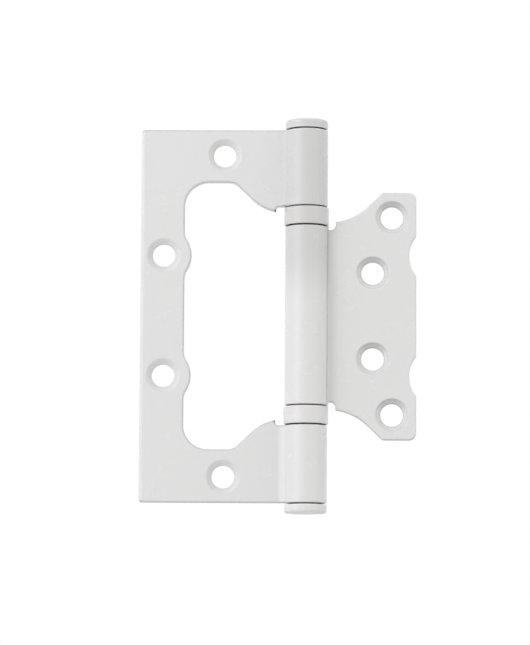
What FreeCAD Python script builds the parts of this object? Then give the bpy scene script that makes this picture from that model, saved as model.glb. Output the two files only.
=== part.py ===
"""Non-mortise ball-bearing door hinge, lying open flat.

A windowed frame leaf and a smaller door leaf are stamped from sheet steel and rolled round one pin. The
door leaf nests inside the frame leaf's window when the hinge is closed, so both leaves lie on the pin's own
plane. Each of the two thrust bearings is a collar, two races, a cage and balls. A cap plugs each end of the
barrel.

Every body is modelled about the pin: X across the leaves, Y out of their backs, Z up the pin. Its placement
then puts the origin on the frame leaf's back face, halfway between that leaf's two inner screw holes.
"""

import FreeCAD
import Part
import math
import os
import Sketcher
from FreeCAD import Rotation, Vector

# The sizes that can be set by themselves, in millimetres and degrees.
SIZES = {
    # Sheet, pin, the roll of the knuckles and the edges that stamping leaves soft.
    "sheet_thickness": 2.5,
    "pin_radius": 3.2,
    "pin_clearance": 0.05,
    "jog_radius": 2.2,
    "roll_slit": 0.12,
    "edge_rounding": 0.4,
    # Frame leaf: overall size and its four screw holes, the side ones set in from its outer edge.
    "leaf_height": 101.6,
    "frame_reach": 45.0,
    "frame_corner": 1.0,
    "side_margin": 6.3,
    "frame_inner_height": 16.4,
    "frame_outer_reach": 22.3,
    "end_margin": 7.0,
    # The window that the door leaf nests in: the band beyond each side hole, its swell, and each end's band.
    "band_width": 5.6,
    "end_band": 14.4,
    "window_corner": 6.6,
    "pad_rise": 1.9,
    "pad_blend": 5.0,
    # The slanting edge from the window's end to the barrel.
    "shoulder_reach": 19.6,
    "shoulder_radius": 3.75,
    "ramp_angle": 43.7,
    "lobe_radius": 12.4,
    "lobe_centre_reach": 6.1,
    "neck_wall": 0.55,
    "notch_radius": 0.8,
    "notch_gap": 1.15,
    # Door leaf.
    "nest_clearance": 2.7,
    "side_clearance": 3.3,
    "door_corner": 2.0,
    "door_inner_margin": 11.8,
    "door_inner_height": 11.7,
    "door_outer_margin": 6.6,
    "door_end_margin": 6.8,
    "door_neck": 0.55,
    "door_wall": 0.8,
    "door_notch_radius": 1.4,
    "scallop_radius": 8.6,
    "scallop_blend": 1.0,
    # Countersunk screw holes of both leaves.
    "hole_diameter": 6.2,
    "sink_diameter": 9.0,
    "sink_angle": 90.0,
    # Thrust bearings between the knuckles.
    "bearing_height": 5.45,
    "collar_recess": 0.34,
    "collar_overhang": 0.3,
    "collar_wall": 0.5,
    "collar_edge": 0.25,
    "race_pin_clearance": 0.1,
    "race_running_clearance": 0.1,
    "race_boss_radius": 4.5,
    "race_gap": 1.0,
    "ball_radius": 0.79,
    "ball_clearance": 0.04,
    "ball_count": 10.0,
    "cage_thickness": 0.6,
    "cage_clearance": 0.15,
    # End caps and their plugs.
    "cap_gap": 0.38,
    "cap_seat_radius": 4.4,
    "cap_thickness": 2.35,
    "cap_rounding": 0.8,
    "cap_edge": 0.2,
    "plug_length": 5.0,
    "plug_taper": 0.5,
    "pin_end_gap": 0.3,
    "pin_chamfer": 0.6,
}

# The sizes that follow from them.
DERIVED = {
    "half_thickness": "=sheet_thickness / 2",
    "bore_radius": "=pin_radius + pin_clearance",
    "barrel_radius": "=bore_radius + sheet_thickness",
    "roll_radius": "=bore_radius + half_thickness",
    "jog_reach": "=sqrt((jog_radius + roll_radius) ^ 2 - jog_radius ^ 2)",
    "jog_back_radius": "=jog_radius - half_thickness",
    "slit_radius": "=jog_radius + half_thickness + roll_slit",
    "leaf_half": "=leaf_height / 2",
    "cut_reach": "=barrel_radius + 2",
    "cut_depth": "=4 * barrel_radius",
    "cut_overlap": "=sheet_thickness / 2",
    "frame_inner_reach": "=frame_reach - side_margin",
    "frame_outer_height": "=leaf_half - end_margin",
    "window_reach": "=frame_inner_reach - band_width",
    "window_half": "=leaf_half - end_band",
    "pad_radius": "=band_width + pad_rise",
    "lobe_offset": "=(shoulder_reach - lobe_centre_reach) * sin(ramp_angle)",
    "lobe_centre_height": "=window_half - (lobe_offset - lobe_radius) / cos(ramp_angle)",
    "lobe_tip_reach": "=jog_reach + notch_gap + notch_radius",
    "lobe_tip_rise": "=sqrt(lobe_radius ^ 2 - (lobe_tip_reach - lobe_centre_reach) ^ 2)",
    "knuckle_start": "=lobe_centre_height - lobe_tip_rise + neck_wall + notch_radius",
    "door_knuckle_half": "=knuckle_start - bearing_height",
    "door_lobe_radius": "=lobe_radius + nest_clearance",
    "door_shoulder_radius": "=shoulder_radius - nest_clearance",
    "door_half": "=window_half - nest_clearance",
    "door_reach": "=window_reach - side_clearance",
    "door_inner_reach": "=door_reach - door_inner_margin",
    "door_outer_reach": "=door_reach - door_outer_margin",
    "door_outer_height": "=door_half - door_end_margin",
    "door_slant_reach": "=(door_outer_reach - shoulder_reach) * sin(ramp_angle)",
    "door_slant_rise": "=(window_half - door_outer_height) * cos(ramp_angle)",
    "door_slant_wall": "=door_slant_reach + door_slant_rise - nest_clearance - sink_diameter / 2",
    "door_edge_limit": "=door_slant_wall > 0 ? 0.35 * door_slant_wall : edge_rounding",
    "door_edge_rounding": "=min(edge_rounding; door_edge_limit)",
    "door_step": "=barrel_radius + collar_overhang",
    "door_tip_reach": "=door_step + door_neck + door_notch_radius",
    "door_tip_rise": "=sqrt(door_lobe_radius ^ 2 - (door_tip_reach - lobe_centre_reach) ^ 2)",
    "door_strip": "=lobe_centre_height - door_tip_rise - door_wall - door_notch_radius",
    "blank_reach": "=door_reach + sheet_thickness",
    "blank_half": "=door_half + sheet_thickness",
    "blank_height": "=2 * blank_half",
    "stock_reach": "=blank_reach + sheet_thickness",
    "stock_half": "=blank_half + sheet_thickness",
    "shoulder_centre": "=shoulder_reach + shoulder_radius * tan(ramp_angle / 2)",
    "scallop_centre": "=door_reach - pad_rise + scallop_radius",
    "collar_radius": "=barrel_radius + collar_overhang",
    "collar_bore": "=collar_radius - collar_wall",
    "collar_height": "=bearing_height - 2 * collar_recess",
    "race_bore": "=pin_radius + race_pin_clearance",
    "race_height": "=(bearing_height - race_gap) / 2",
    "turning_race_radius": "=collar_bore - race_running_clearance",
    "bearing_half": "=bearing_height / 2",
    "pitch_radius": "=(race_bore + collar_bore) / 2",
    "groove_radius": "=ball_radius + ball_clearance",
    "cage_bore": "=race_bore + cage_clearance",
    "cage_radius": "=collar_bore - cage_clearance",
    "bearing_level": "=door_knuckle_half + bearing_half",
    "pin_half": "=leaf_half - plug_length - pin_end_gap",
    "gap_half": "=race_gap / 2",
    "collar_half": "=collar_height / 2",
    "cage_half": "=cage_thickness / 2",
    "pocket_radius": "=ball_radius + ball_clearance",
    "cap_bottom": "=leaf_half + cap_gap",
    "cap_top": "=cap_bottom + cap_thickness",
    "plug_end": "=leaf_half - plug_length",
}

START, END, CENTRE = 1, 2, 3
ORIGIN = (-1, 1)
EDGE_ANGLE = 20.0
UP = Vector(0, 0, 1)

document = FreeCAD.newDocument("hinge")
sheet = document.addObject("Spreadsheet::Sheet", "Sizes")


def fill_sheet():
    """Write every size into its own named cell, the free ones first."""
    row = 1
    for name, content in list(SIZES.items()) + list(DERIVED.items()):
        sheet.set(f"A{row}", name)
        sheet.set(f"B{row}", str(content))
        sheet.setAlias(f"B{row}", name)
        row += 1
    document.recompute()


def size(name):
    """The number in the named cell."""
    value = sheet.get(name)
    return float(getattr(value, "Value", value))


def polar(centre, radius, degrees):
    """The point at this angle on a circle."""
    angle = math.radians(degrees)
    return (centre[0] + radius * math.cos(angle), centre[1] + radius * math.sin(angle))


class Profile:
    """A sketch on one of a body's own planes, with its dimensions bound to the sheet."""

    def __init__(self, body, name, role, offset=None):
        self.sketch = body.newObject("Sketcher::SketchObject", name)
        plane = [feature for feature in body.Origin.OriginFeatures if feature.Role == role][0]
        self.sketch.AttachmentSupport = [(plane, "")]
        self.sketch.MapMode = "FlatFace"
        if offset:
            self.sketch.setExpression("AttachmentOffset.Base.z", f"Sizes.{offset}")

    def line(self, start, end):
        """Add a straight edge and return its number."""
        return self.sketch.addGeometry(Part.LineSegment(Vector(*start, 0), Vector(*end, 0)), False)

    def arc(self, centre, radius, begin, finish):
        """Add an arc that runs anticlockwise between two angles in degrees."""
        circle = Part.Circle(Vector(*centre, 0), UP, radius)
        return self.sketch.addGeometry(
            Part.ArcOfCircle(circle, math.radians(begin), math.radians(finish)), False
        )

    def circle(self, centre, radius, construction=False):
        """Add a whole circle."""
        return self.sketch.addGeometry(Part.Circle(Vector(*centre, 0), UP, radius), construction)

    def point(self, place):
        """Add a construction point."""
        return self.sketch.addGeometry(Part.Point(Vector(*place, 0)), True)

    def add(self, kind, *references):
        """Add a geometric constraint."""
        return self.sketch.addConstraint(Sketcher.Constraint(kind, *references))

    def bind(self, kind, *references):
        """Add a dimension. The last reference is a cell's name, with a minus sign where it is negative."""
        name = references[-1]
        value = -size(name[1:]) if name.startswith("-") else size(name)
        if kind == "Angle":
            value = math.radians(value)
        index = self.add(kind, *references[:-1], value)
        formula = f"-Sizes.{name[1:]}" if name.startswith("-") else f"Sizes.{name}"
        self.sketch.setExpression(f"Constraints[{index}]", formula)

    def place(self, element, end, across=None, along=None):
        """Dimension a point from the origin in the sketch's two directions."""
        if across:
            self.bind("DistanceX", *ORIGIN, element, end, across)
        if along:
            self.bind("DistanceY", *ORIGIN, element, end, along)

    def join(self, kind, pairs):
        """Join the ends of edges, as coincident or as tangent ones."""
        for first, first_end, second, second_end in pairs:
            self.add(kind, first, first_end, second, second_end)

    def rectangle(self, left, right, bottom, top):
        """A rectangle between four named cells, signs included. A side with no name lies on the origin."""
        spans = []
        for name in (left, right, bottom, top):
            spans.append(0.0 if name is None else float(name[0] + "1") * size(name[1:]))
        x_low, x_high, y_low, y_high = spans
        corners = [(x_low, y_low), (x_high, y_low), (x_high, y_high), (x_low, y_high)]
        edges = [self.line(corners[i], corners[(i + 1) % 4]) for i in range(4)]
        self.join("Coincident", [(edges[i], END, edges[(i + 1) % 4], START) for i in range(4)])
        for edge in (edges[0], edges[2]):
            self.add("Horizontal", edge)
        for edge in (edges[1], edges[3]):
            self.add("Vertical", edge)
        bounds = ((left, 0, True), (bottom, 0, False), (right, 2, True), (top, 2, False))
        for name, edge, across in bounds:
            kind = "DistanceX" if across else "DistanceY"
            if name is None:
                self.add("PointOnObject", edges[edge], START, -2 if across else -1)
            else:
                self.bind(kind, *ORIGIN, edges[edge], START, name.replace("+", ""))
        return edges


def new_body(name):
    """An empty body with the node's own name."""
    body = document.addObject("PartDesign::Body", name)
    body.Label = name
    return body


def set_side(feature, symmetric):
    """Choose whether a pad or a cut runs to both sides of its sketch."""
    feature.SideType = "Symmetric" if symmetric else "One side"


def pad(body, profile, name, length, symmetric=True):
    """Raise a profile by the named length."""
    feature = body.newObject("PartDesign::Pad", name)
    feature.Profile = profile.sketch
    set_side(feature, symmetric)
    feature.setExpression("Length", f"Sizes.{length}")
    document.recompute()
    return feature


def pocket(body, profile, name, depth="cut_depth"):
    """Cut a profile right through, to both sides."""
    feature = body.newObject("PartDesign::Pocket", name)
    feature.Profile = profile.sketch
    set_side(feature, True)
    feature.setExpression("Length", f"Sizes.{depth}")
    document.recompute()
    return feature


def mirror_down(body, feature, name):
    """Repeat a cut below the mid-height plane."""
    mirrored = body.newObject("PartDesign::Mirrored", name)
    plane = [item for item in body.Origin.OriginFeatures if item.Role == "XY_Plane"][0]
    mirrored.Originals = [feature]
    mirrored.MirrorPlane = (plane, [""])
    body.Tip = mirrored
    document.recompute()
    return mirrored


def turn(body, profile, name, kind="PartDesign::Revolution"):
    """Turn a profile drawn in the XZ plane about the pin."""
    axis = [item for item in body.Origin.OriginFeatures if item.Role == "Z_Axis"][0]
    feature = body.newObject(kind, name)
    feature.Profile = profile.sketch
    feature.ReferenceAxis = (axis, [""])
    feature.Angle = 360.0
    document.recompute()
    return feature


def edge_names(shape, wanted):
    """The names of the edges that pass a test."""
    return [f"Edge{i}" for i, edge in enumerate(shape.Edges, 1) if wanted(edge)]


def soften(body, base, name, wanted, radius, kind="PartDesign::Fillet"):
    """Round or bevel the edges that pass a test."""
    feature = body.newObject(kind, name)
    feature.Base = (base, edge_names(base.Shape, wanted))
    feature.setExpression("Radius" if kind.endswith("Fillet") else "Size", f"Sizes.{radius}")
    document.recompute()
    return feature


def rolled_sheet(body, reach, height):
    """The section of a leaf across the pin, raised to its height.

    The sheet runs in flat, jogs to the back of the pin and rolls right round it, until the free end comes
    back to the leaf's front face and leaves a fine slit there.
    """
    half = size("half_thickness")
    bore = size("bore_radius")
    barrel = size("barrel_radius")
    jog = size("jog_radius")
    middle = size("roll_radius")
    span = jog + middle
    lean = math.degrees(math.acos(jog / span))
    jog_x = span * math.sin(math.radians(lean))
    rise = (barrel**2 + span**2 - size("slit_radius") ** 2) / (2 * span * barrel)
    last = 360 - (lean - math.degrees(math.asin(rise)))
    profile = Profile(body, "section_" + body.Label, "XY_Plane")
    centre = (jog_x, jog)
    back = profile.line((size(reach), half), (jog_x, half))
    back_jog = profile.arc(centre, jog - half, 270 - lean, 270)
    outside = profile.arc((0, 0), barrel, 90 - lean, last)
    tail = profile.line(polar((0, 0), barrel, last), polar((0, 0), bore, last))
    inside = profile.arc((0, 0), bore, 90 - lean, last)
    front_jog = profile.arc(centre, jog + half, 270 - lean, 270)
    front = profile.line((jog_x, -half), (size(reach), -half))
    rim = profile.line((size(reach), -half), (size(reach), half))
    limit = profile.circle(centre, size("slit_radius"), True)
    profile.join(
        "Tangent",
        [
            (back, END, back_jog, END),
            (back_jog, START, outside, START),
            (inside, START, front_jog, START),
            (front_jog, END, front, START),
        ],
    )
    profile.join(
        "Coincident",
        [
            (outside, END, tail, START),
            (tail, END, inside, END),
            (front, END, rim, START),
            (rim, END, back, START),
            (front_jog, CENTRE, back_jog, CENTRE),
            (limit, CENTRE, back_jog, CENTRE),
            (outside, CENTRE, *ORIGIN),
            (inside, CENTRE, *ORIGIN),
        ],
    )
    profile.add("Horizontal", back)
    profile.add("Horizontal", front)
    profile.add("Vertical", rim)
    profile.add("PointOnObject", *ORIGIN, tail)
    profile.add("PointOnObject", tail, START, limit)
    profile.bind("Radius", back_jog, "jog_back_radius")
    profile.bind("Radius", outside, "barrel_radius")
    profile.bind("Radius", inside, "bore_radius")
    profile.bind("Radius", limit, "slit_radius")
    profile.place(rim, END, reach, "half_thickness")
    return pad(body, profile, "roll_" + body.Label, height)


def nest_edge(profile, tip_reach, arc_radius, fillet_radius, start_height):
    """The slanting edge beside the barrel, the same curve on both leaves but for the nest clearance.

    Returns the wall under the tip, the lobe's arc, the ramp and the shoulder's arc.
    """
    angle = size("ramp_angle")
    centre = (size("lobe_centre_reach"), size("lobe_centre_height"))
    radius = size(arc_radius)
    tip_x = size(tip_reach)
    tip_angle = -math.degrees(math.acos((tip_x - centre[0]) / radius))
    tip = polar(centre, radius, tip_angle)
    ramp_start = polar(centre, radius, angle - 90)
    # The shoulder's arc has one centre on both leaves, set from the corner of the ramp and the window's top.
    reach = size("shoulder_radius")
    shoulder = (
        size("shoulder_reach") + reach * math.tan(math.radians(angle / 2)),
        size("window_half") - reach,
    )
    fillet = size(fillet_radius)
    wall = profile.line((tip_x, start_height), tip)
    lobe = profile.arc(centre, radius, tip_angle, angle - 90)
    ramp = profile.line(ramp_start, polar(shoulder, fillet, 90 + angle))
    bend = profile.arc(shoulder, fillet, 90, 90 + angle)
    profile.add("Vertical", wall)
    profile.join("Coincident", [(wall, END, lobe, START)])
    profile.join("Tangent", [(lobe, END, ramp, START), (ramp, END, bend, END)])
    profile.place(wall, START, tip_reach)
    profile.place(lobe, CENTRE, "lobe_centre_reach")
    profile.bind("Radius", lobe, arc_radius)
    profile.bind("Radius", bend, fillet_radius)
    profile.bind("Angle", ramp, "ramp_angle")
    return wall, lobe, ramp, bend, shoulder


def window_profile(body):
    """The upper half of the frame leaf's window and of the gap between its two knuckles."""
    profile = Profile(body, "window_outline", "XZ_Plane")
    left = -size("cut_reach")
    low = -size("cut_overlap")
    top = size("window_half")
    side = size("window_reach")
    corner = size("window_corner")
    start = size("knuckle_start")
    tip = size("lobe_tip_reach")
    notch = size("notch_radius")
    blend = size("pad_blend")
    pad_centre = (size("frame_inner_reach"), size("frame_inner_height"))
    pad_radius = size("pad_radius")
    across = pad_centre[0] - side + blend
    rise = math.sqrt((pad_radius + blend) ** 2 - across**2)
    lean = math.degrees(math.atan2(rise, across))
    blend_x = side - blend
    upper = (blend_x, pad_centre[1] + rise)
    lower = (blend_x, pad_centre[1] - rise)
    wall, lobe, ramp, bend, shoulder = nest_edge(
        profile, "lobe_tip_reach", "lobe_radius", "shoulder_radius", start - notch
    )
    free = profile.line((left, low), (left, start))
    knuckle = profile.line((left, start), (tip - notch, start))
    relief = profile.arc((tip - notch, start - notch), notch, 0, 90)
    head = profile.line((shoulder[0], top), (side - corner, top))
    bow = profile.arc((side - corner, top - corner), corner, 0, 90)
    high_side = profile.line((side, top - corner), (side, upper[1]))
    high_blend = profile.arc(upper, blend, -lean, 0)
    ear = profile.arc(pad_centre, pad_radius, 180 - lean, 180 + lean)
    low_blend = profile.arc(lower, blend, 0, lean)
    low_side = profile.line((side, lower[1]), (side, low))
    base = profile.line((side, low), (left, low))
    meeting = profile.point((size("shoulder_reach"), top))
    profile.join(
        "Coincident",
        [
            (base, END, free, START),
            (free, END, knuckle, START),
            (low_side, END, base, START),
        ],
    )
    profile.join(
        "Tangent",
        [
            (knuckle, END, relief, END),
            (relief, START, wall, START),
            (bend, START, head, START),
            (head, END, bow, END),
            (bow, START, high_side, START),
            (high_side, END, high_blend, END),
            (high_blend, START, ear, START),
            (ear, END, low_blend, END),
            (low_blend, START, low_side, START),
        ],
    )
    for edge in (knuckle, head, base):
        profile.add("Horizontal", edge)
    for edge in (free, high_side, low_side):
        profile.add("Vertical", edge)
    profile.add("PointOnObject", meeting, START, ramp)
    profile.add("PointOnObject", meeting, START, head)
    profile.place(meeting, START, "shoulder_reach", "window_half")
    profile.place(free, START, "-cut_reach", "-cut_overlap")
    profile.place(knuckle, START, None, "knuckle_start")
    profile.place(high_side, START, "window_reach")
    profile.place(low_side, END, "window_reach")
    profile.place(ear, CENTRE, "frame_inner_reach", "frame_inner_height")
    profile.bind("Radius", relief, "notch_radius")
    profile.bind("Radius", bow, "window_corner")
    profile.bind("Radius", ear, "pad_radius")
    profile.bind("Radius", high_blend, "pad_blend")
    profile.bind("Radius", low_blend, "pad_blend")
    return profile


def door_profile(body):
    """What the stamping takes off the upper half of the door leaf's blank."""
    profile = Profile(body, "door_outline", "XZ_Plane")
    left = -size("cut_reach")
    low = -size("cut_overlap")
    far = size("blank_reach") + size("sheet_thickness")
    high = size("blank_half") + size("sheet_thickness")
    top = size("door_half")
    side = size("door_reach")
    corner = size("door_corner")
    strip = size("door_strip")
    start = size("door_knuckle_half")
    step = size("door_step")
    tip = size("door_tip_reach")
    notch = size("door_notch_radius")
    blend = size("scallop_blend")
    scallop = (size("scallop_centre"), size("frame_inner_height"))
    radius = size("scallop_radius")
    # A blend arc sits inside the leaf's edge and touches the scallop from outside.
    across = scallop[0] - side + blend
    rise = math.sqrt((radius + blend) ** 2 - across**2)
    lean = math.degrees(math.atan2(rise, across))
    upper = (side - blend, scallop[1] + rise)
    lower = (side - blend, scallop[1] - rise)
    wall, lobe, ramp, bend, shoulder = nest_edge(
        profile, "door_tip_reach", "door_lobe_radius", "door_shoulder_radius", strip + notch
    )
    free = profile.line((left, high), (left, start))
    knuckle = profile.line((left, start), (step, start))
    drop = profile.line((step, start), (step, strip))
    neck = profile.line((step, strip), (tip - notch, strip))
    relief = profile.arc((tip - notch, strip + notch), notch, 270, 360)
    head = profile.line((shoulder[0], top), (side - corner, top))
    bow = profile.arc((side - corner, top - corner), corner, 0, 90)
    high_side = profile.line((side, top - corner), (side, upper[1]))
    high_blend = profile.arc(upper, blend, -lean, 0)
    dip = profile.arc(scallop, radius, 180 - lean, 180 + lean)
    low_blend = profile.arc(lower, blend, 0, lean)
    low_side = profile.line((side, lower[1]), (side, low))
    base = profile.line((side, low), (far, low))
    outer = profile.line((far, low), (far, high))
    over = profile.line((far, high), (left, high))
    profile.join(
        "Coincident",
        [
            (over, END, free, START),
            (free, END, knuckle, START),
            (knuckle, END, drop, START),
            (drop, END, neck, START),
            (low_side, END, base, START),
            (base, END, outer, START),
            (outer, END, over, START),
        ],
    )
    profile.join(
        "Tangent",
        [
            (neck, END, relief, START),
            (relief, END, wall, START),
            (bend, START, head, START),
            (head, END, bow, END),
            (bow, START, high_side, START),
            (high_side, END, high_blend, END),
            (high_blend, START, dip, START),
            (dip, END, low_blend, END),
            (low_blend, START, low_side, START),
        ],
    )
    for edge in (knuckle, neck, head, base, over):
        profile.add("Horizontal", edge)
    for edge in (free, drop, high_side, low_side, outer):
        profile.add("Vertical", edge)
    profile.place(free, START, "-cut_reach")
    profile.place(outer, START, "stock_reach", "-cut_overlap")
    profile.place(over, END, None, "stock_half")
    profile.place(knuckle, START, None, "door_knuckle_half")
    profile.place(drop, END, "door_step", "door_strip")
    profile.place(head, START, "shoulder_centre", "door_half")
    profile.place(high_side, START, "door_reach")
    profile.place(low_side, END, "door_reach")
    profile.place(dip, CENTRE, "scallop_centre", "frame_inner_height")
    profile.bind("Radius", relief, "door_notch_radius")
    profile.bind("Radius", bow, "door_corner")
    profile.bind("Radius", dip, "scallop_radius")
    profile.bind("Radius", high_blend, "scallop_blend")
    profile.bind("Radius", low_blend, "scallop_blend")
    return profile


def screw_holes(body, pairs):
    """Countersunk holes from the front face, one above and one below mid-height for each pair of cells."""
    profile = Profile(body, "screws_" + body.Label, "XZ_Plane", "half_thickness")
    for reach, height in pairs:
        for sign, prefix in ((1, ""), (-1, "-")):
            ring = profile.circle((size(reach), sign * size(height)), size("hole_diameter") / 2)
            profile.place(ring, CENTRE, reach, prefix + height)
            profile.bind("Diameter", ring, "hole_diameter")
    document.recompute()
    holes = body.newObject("PartDesign::Hole", "holes_" + body.Label)
    holes.Profile = profile.sketch
    holes.DepthType = "ThroughAll"
    holes.Threaded = False
    holes.ThreadType = "None"
    holes.setExpression("Diameter", "Sizes.hole_diameter")
    holes.HoleCutType = "Countersink"
    holes.HoleCutCustomValues = True
    holes.setExpression("HoleCutDiameter", "Sizes.sink_diameter")
    holes.setExpression("HoleCutCountersinkAngle", "Sizes.sink_angle")
    document.recompute()
    return holes


def stand(body, level=None, flipped=False, half_turn=False):
    """Put a body on the pin's axis in the part's frame, upside down or turned round for the other hand."""
    turn_over = Rotation()
    if flipped:
        turn_over = Rotation(Vector(1, 0, 0), 180)
    if half_turn:
        turn_over = Rotation(Vector(0, 1, 0), 180)
    body.Placement = FreeCAD.Placement(Vector(0, 0, 0), turn_over)
    body.setExpression("Placement.Base.x", "Sizes.frame_inner_reach")
    body.setExpression("Placement.Base.y", "-Sizes.half_thickness")
    if level:
        sign = "-" if flipped else ""
        body.setExpression("Placement.Base.z", f"{sign}Sizes.{level}")
    document.recompute()


def leaf_corner(reach, half):
    """A test for the short edges through the sheet at a leaf's outer corners."""

    def wanted(edge):
        places = [vertex.Point for vertex in edge.Vertexes]
        return len(places) == 2 and all(
            abs(place.x - reach) < 0.001 and abs(abs(place.z) - half) < 0.001 for place in places
        )

    return wanted


def stamped_edges(shape):
    """The names of a leaf's outline edges, its knuckles' end rims and its screw holes' front rims."""
    half = size("half_thickness")
    outlines = []
    rims = []
    for number, edge in enumerate(shape.Edges, 1):
        curve = edge.Curve
        first, last = edge.ParameterRange
        points = [edge.valueAt(first + (last - first) * step / 4) for step in range(5)]
        round_curve = isinstance(curve, Part.Circle)
        if round_curve and len(edge.Vertexes) == 1:
            if abs(2 * curve.Radius - size("sink_diameter")) < 0.001:
                rims.append(number)
        elif all(abs(abs(point.y) - half) < 0.001 for point in points):
            if corner_angle(shape, edge) > EDGE_ANGLE:
                outlines.append(number)
        elif round_curve and abs(curve.Axis.z) > 0.999:
            if abs(curve.Radius - size("barrel_radius")) < 0.001:
                rims.append(number)
    return [f"Edge{number}" for number in sorted(outlines + rims)]


def corner_angle(shape, edge):
    """How far the surface turns at an edge, in degrees, next to nothing where two faces run on smoothly."""
    first, last = edge.ParameterRange
    middle = edge.valueAt((first + last) / 2)
    normals = []
    for face in shape.ancestorsOfType(edge, Part.Face):
        normals.append(face.normalAt(*face.Surface.parameter(middle)))
    if len(normals) < 2:
        return 0.0
    return math.degrees(normals[0].getAngle(normals[1]))


def round_stamping(body, rounding):
    """Round every edge that the press and the paint leave soft, by a named radius."""
    base = body.Tip
    feature = body.newObject("PartDesign::Fillet", "soft_edges_" + body.Label)
    feature.Base = (base, stamped_edges(base.Shape))
    feature.setExpression("Radius", f"Sizes.{rounding}")
    body.Tip = feature
    document.recompute()
    return feature


def frame_leaf():
    """The large leaf: window, two end knuckles and four screw holes. It points to the left of the pin."""
    body = new_body("frame_leaf")
    base = rolled_sheet(body, "frame_reach", "leaf_height")
    corners = soften(
        body, base, "frame_corners", leaf_corner(size("frame_reach"), size("leaf_half")), "frame_corner"
    )
    body.Tip = corners
    cut = pocket(body, window_profile(body), "window_top")
    body.Tip = cut
    mirror_down(body, cut, "window_bottom")
    screw_holes(
        body,
        (("frame_inner_reach", "frame_inner_height"), ("frame_outer_reach", "frame_outer_height")),
    )
    round_stamping(body, "edge_rounding")
    stand(body, half_turn=True)
    return body


def door_leaf():
    """The small leaf with its one middle knuckle. It points to the right of the pin."""
    body = new_body("door_leaf")
    rolled_sheet(body, "blank_reach", "blank_height")
    cut = pocket(body, door_profile(body), "outline_top")
    body.Tip = cut
    mirror_down(body, cut, "outline_bottom")
    screw_holes(
        body,
        (("door_inner_reach", "door_inner_height"), ("door_outer_reach", "door_outer_height")),
    )
    round_stamping(body, "door_edge_rounding")
    stand(body)
    return body


def ring(name, sections):
    """A body turned about the pin from rectangles, each given as its left, right, bottom and top cells."""
    body = new_body(name)
    for number, section in enumerate(sections):
        profile = Profile(body, f"{name}_section_{number}", "XZ_Plane")
        profile.rectangle(*section)
        body.Tip = turn(body, profile, f"{name}_turned_{number}")
    return body


def round_edge(radius, level, sign=1):
    """A test for the circle of this radius at this height."""

    def wanted(edge):
        curve = edge.Curve
        if not isinstance(curve, Part.Circle):
            return False
        same_radius = abs(curve.Radius - size(radius)) < 0.001
        return same_radius and abs(curve.Center.z - sign * size(level)) < 0.001

    return wanted


def hinge_pin():
    """The plain steel pin through all three knuckles, bevelled at both ends."""
    body = ring("hinge_pin", [(None, "+pin_radius", "-pin_half", "+pin_half")])
    for name, sign in (("upper_bevel", 1), ("lower_bevel", -1)):
        ends = round_edge("pin_radius", "pin_half", sign)
        body.Tip = soften(body, body.Tip, name, ends, "pin_chamfer", "PartDesign::Chamfer")
    stand(body)
    return body


def end_cap(name, flipped):
    """A button that closes the barrel, with a plug pressed into the knuckle and a shadow gap under it."""
    body = ring(
        name,
        [
            (None, "+bore_radius", "+plug_end", "+cap_top"),
            (None, "+cap_seat_radius", "+leaf_half", "+cap_top"),
            (None, "+barrel_radius", "+cap_bottom", "+cap_top"),
        ],
    )
    rim = round_edge("barrel_radius", "cap_top")
    body.Tip = soften(body, body.Tip, name + "_crown", rim, "cap_rounding")
    skirt = round_edge("barrel_radius", "cap_bottom")
    body.Tip = soften(body, body.Tip, name + "_skirt", skirt, "cap_edge")
    tip = round_edge("bore_radius", "plug_end")
    body.Tip = soften(body, body.Tip, name + "_taper", tip, "plug_taper", "PartDesign::Chamfer")
    stand(body, flipped=flipped)
    return body


def collar(name, flipped):
    """The painted shell that hides one bearing."""
    body = ring(name, [("+collar_bore", "+collar_radius", "-collar_half", "+collar_half")])
    for suffix, sign in (("_upper_edge", 1), ("_lower_edge", -1)):
        edge = round_edge("collar_radius", "collar_half", sign)
        body.Tip = soften(body, body.Tip, name + suffix, edge, "collar_edge")
    stand(body, "bearing_level", flipped)
    return body


def race(name, outer_radius, sign, flipped):
    """One race: a washer with a raised boss against its knuckle and a groove for the balls."""
    if sign > 0:
        spans = (("+gap_half", "+collar_half"), ("+gap_half", "+bearing_half"))
    else:
        spans = (("-collar_half", "-gap_half"), ("-bearing_half", "-gap_half"))
    body = ring(
        name,
        [
            ("+race_bore", "+" + outer_radius, *spans[0]),
            ("+race_bore", "+race_boss_radius", *spans[1]),
        ],
    )
    profile = Profile(body, name + "_track", "XZ_Plane")
    track = profile.circle((size("pitch_radius"), 0), size("groove_radius"))
    profile.add("PointOnObject", track, CENTRE, -1)
    profile.place(track, CENTRE, "pitch_radius")
    profile.bind("Radius", track, "groove_radius")
    body.Tip = turn(body, profile, name + "_groove", "PartDesign::Groove")
    stand(body, "bearing_level", flipped)
    return body


def ball_cage(name, flipped):
    """The thin ring that spaces the balls, with one pocket for each."""
    body = ring(name, [("+cage_bore", "+cage_radius", "-cage_half", "+cage_half")])
    profile = Profile(body, name + "_pocket_outline", "XY_Plane")
    hole = profile.circle((size("pitch_radius"), 0), size("pocket_radius"))
    profile.add("PointOnObject", hole, CENTRE, -1)
    profile.place(hole, CENTRE, "pitch_radius")
    profile.bind("Radius", hole, "pocket_radius")
    cut = pocket(body, profile, name + "_pocket", "bearing_height")
    body.Tip = cut
    axis = [item for item in body.Origin.OriginFeatures if item.Role == "Z_Axis"][0]
    pattern = body.newObject("PartDesign::PolarPattern", name + "_pockets")
    pattern.Originals = [cut]
    pattern.Axis = (axis, [""])
    pattern.Angle = 360.0
    pattern.setExpression("Occurrences", "Sizes.ball_count")
    body.Tip = pattern
    stand(body, "bearing_level", flipped)
    return body


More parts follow.
